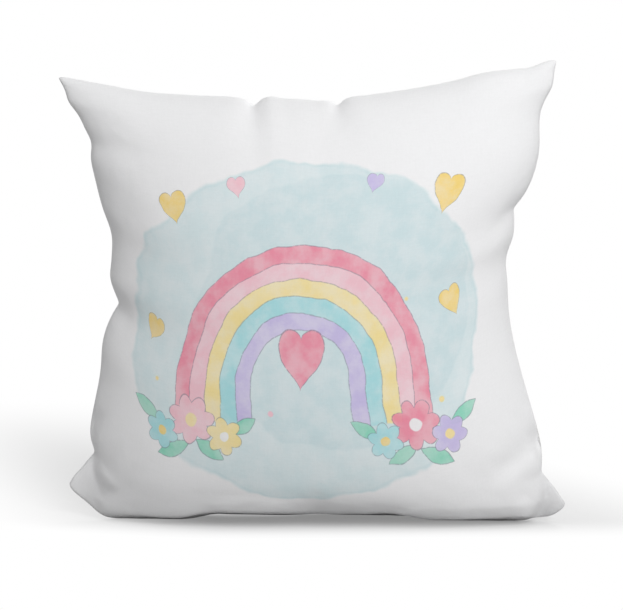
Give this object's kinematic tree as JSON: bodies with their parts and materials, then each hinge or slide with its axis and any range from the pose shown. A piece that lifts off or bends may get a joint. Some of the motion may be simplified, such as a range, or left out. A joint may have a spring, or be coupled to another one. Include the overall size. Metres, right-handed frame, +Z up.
{
  "type": "throw cushion",
  "caption": "Square throw cushion standing on its lower edge: knife-edge cover with a printed front, a zip low on the back with a sliding slider and swinging pull, and a fibre insert.",
  "frame": {"origin": "middle of the standing cushion's bounding box, on the floor", "axes": "+Z up, -Y towards the printed front, +X to the viewer's right when facing the front"},
  "size_m": [0.4556, 0.1557, 0.41],
  "materials": {
    "printed_cloth": "smooth white polyester with a pastel print",
    "plain_cloth": "smooth white polyester",
    "sewing_thread": "white polyester thread",
    "zip_tape": "woven tape",
    "zip_nylon": "satin moulded nylon",
    "zip_metal": "nickel-plated zinc",
    "insert_lining": "matte non-woven lining",
    "fibre_filling": "loose polyester fibre"
  },
  "bodies": {
    "cushion": {"front_panel": "printed_cloth", "back_panel_upper": "plain_cloth", "back_panel_lower": "plain_cloth", "seam_thread": "sewing_thread", "zip_tape_upper": "zip_tape", "zip_tape_lower": "zip_tape", "zip_teeth_upper": "zip_nylon", "zip_teeth_lower": "zip_nylon", "zip_top_stop_upper": "zip_metal", "zip_top_stop_lower": "zip_metal", "zip_bottom_stop": "zip_metal", "zip_stitch_upper": "sewing_thread", "zip_stitch_lower": "sewing_thread", "zip_bartack_left": "sewing_thread", "zip_bartack_right": "sewing_thread", "insert_case_front": "insert_lining", "insert_case_back": "insert_lining", "insert_seam_thread": "sewing_thread", "insert_filling": "fibre_filling"},
    "slider": {"zip_slider": "zip_metal"},
    "pull": {"zip_pull": "zip_metal"}
  },
  "joints": [
    {"name": "slider_run", "type": "hinge", "parent": "cushion", "child": "slider", "pos_m": [0.001, -0.39626, 0.10559], "axis": [0, 0.0872, 0.9962], "range_deg": [0, 29.88], "deforming": ["zip_teeth_upper", "zip_teeth_lower"]},
    {"name": "pull_swing", "type": "hinge", "parent": "slider", "child": "pull", "pos_m": [0.11984, 0.04795, 0.06641], "axis": [-0.0419, -0.2425, -0.9692], "range_deg": [0, 175]}
  ]
}
